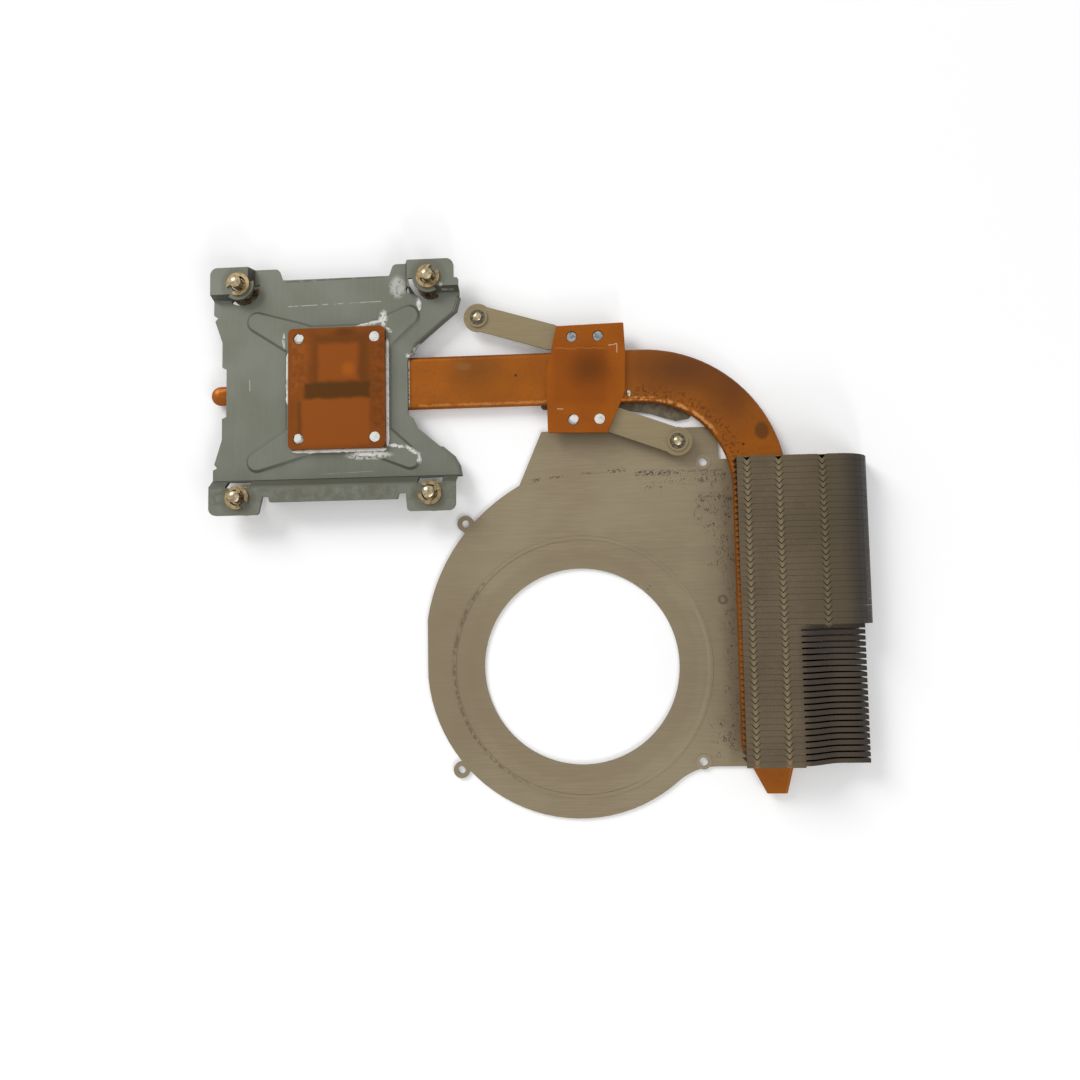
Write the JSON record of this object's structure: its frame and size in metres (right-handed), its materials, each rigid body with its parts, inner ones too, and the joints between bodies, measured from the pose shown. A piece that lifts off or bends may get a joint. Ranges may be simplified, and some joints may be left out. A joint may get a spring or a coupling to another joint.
{
  "type": "laptop heatsink",
  "caption": "Laptop heatsink with processor bracket, flattened heat pipe, graphics plate, blower cover and zipper fin stack.",
  "frame": {"origin": "centre of the processor block's contact face", "axes": "+Z out of the contact faces towards the circuit board, +X along the heat pipe towards the fins"},
  "size_m": [0.16, 0.1362, 0.0104],
  "materials": {
    "bracket_steel": "satin",
    "block_copper": "satin",
    "plate_copper": "satin",
    "pipe_copper": "satin",
    "rivet_steel": "satin",
    "strap_steel": "satin",
    "arm_steel": "satin",
    "cover_steel": "satin",
    "fin_aluminium": "satin",
    "screw_steel": "satin",
    "clip_brass": "satin",
    "ring_steel": "satin",
    "spring_steel": "satin"
  },
  "bodies": {
    "frame": {"processor_bracket": "bracket_steel", "processor_block": "block_copper", "block_rivets": "rivet_steel", "heat_pipe": "pipe_copper", "pipe_strap": "strap_steel", "graphics_plate": "plate_copper", "left_spring_arm": "arm_steel", "right_spring_arm": "arm_steel", "arm_rivets": "rivet_steel", "fan_cover": "cover_steel", "full_fins": "fin_aluminium", "stepped_fins": "fin_aluminium", "processor_spring_1": "spring_steel", "processor_spring_2": "spring_steel", "processor_spring_3": "spring_steel", "processor_spring_4": "spring_steel"},
    "processor_clip_body_1": {"processor_clip_1": "clip_brass"},
    "processor_screw_body_1": {"processor_screw_1": "screw_steel"},
    "processor_clip_body_2": {"processor_clip_2": "clip_brass"},
    "processor_screw_body_2": {"processor_screw_2": "screw_steel"},
    "processor_clip_body_3": {"processor_clip_3": "clip_brass"},
    "processor_screw_body_3": {"processor_screw_3": "screw_steel"},
    "processor_clip_body_4": {"processor_clip_4": "clip_brass"},
    "processor_screw_body_4": {"processor_screw_4": "screw_steel"},
    "graphics_clip_body_1": {"graphics_clip_1": "ring_steel"},
    "graphics_screw_body_1": {"graphics_screw_1": "screw_steel"},
    "graphics_clip_body_2": {"graphics_clip_2": "ring_steel"},
    "graphics_screw_body_2": {"graphics_screw_2": "screw_steel"}
  },
  "joints": [
    {"name": "processor_screw_lift_1", "type": "slide", "parent": "frame", "child": "processor_clip_body_1", "axis": [0, 0, 1], "range_m": [0, 0.0018], "stiffness_N_per_m": 1500, "deforming": ["processor_spring_1"]},
    {"name": "processor_screw_turn_1", "type": "hinge", "parent": "processor_clip_body_1", "child": "processor_screw_body_1", "pos_m": [-0.0245, 0.0267, 0], "axis": [0, 0, 1], "continuous": true},
    {"name": "processor_screw_lift_2", "type": "slide", "parent": "frame", "child": "processor_clip_body_2", "axis": [0, 0, 1], "range_m": [0, 0.0018], "stiffness_N_per_m": 1500, "deforming": ["processor_spring_2"]},
    {"name": "processor_screw_turn_2", "type": "hinge", "parent": "processor_clip_body_2", "child": "processor_screw_body_2", "pos_m": [-0.0245, -0.0267, 0], "axis": [0, 0, 1], "continuous": true},
    {"name": "processor_screw_lift_3", "type": "slide", "parent": "frame", "child": "processor_clip_body_3", "axis": [0, 0, 1], "range_m": [0, 0.0018], "stiffness_N_per_m": 1500, "deforming": ["processor_spring_3"]},
    {"name": "processor_screw_turn_3", "type": "hinge", "parent": "processor_clip_body_3", "child": "processor_screw_body_3", "pos_m": [0.0231, 0.0267, 0], "axis": [0, 0, 1], "continuous": true},
    {"name": "processor_screw_lift_4", "type": "slide", "parent": "frame", "child": "processor_clip_body_4", "axis": [0, 0, 1], "range_m": [0, 0.0018], "stiffness_N_per_m": 1500, "deforming": ["processor_spring_4"]},
    {"name": "processor_screw_turn_4", "type": "hinge", "parent": "processor_clip_body_4", "child": "processor_screw_body_4", "pos_m": [0.0231, -0.0267, 0], "axis": [0, 0, 1], "continuous": true},
    {"name": "graphics_screw_lift_1", "type": "slide", "parent": "frame", "child": "graphics_clip_body_1", "axis": [0, 0, 1], "range_m": [0, 0.0009]},
    {"name": "graphics_screw_turn_1", "type": "hinge", "parent": "graphics_clip_body_1", "child": "graphics_screw_body_1", "pos_m": [0.0348, 0.01695, 0], "axis": [0, 0, 1], "continuous": true},
    {"name": "graphics_screw_lift_2", "type": "slide", "parent": "frame", "child": "graphics_clip_body_2", "axis": [0, 0, 1], "range_m": [0, 0.0009]},
    {"name": "graphics_screw_turn_2", "type": "hinge", "parent": "graphics_clip_body_2", "child": "graphics_screw_body_2", "pos_m": [0.08295, -0.0154, 0], "axis": [0, 0, 1], "continuous": true}
  ]
}
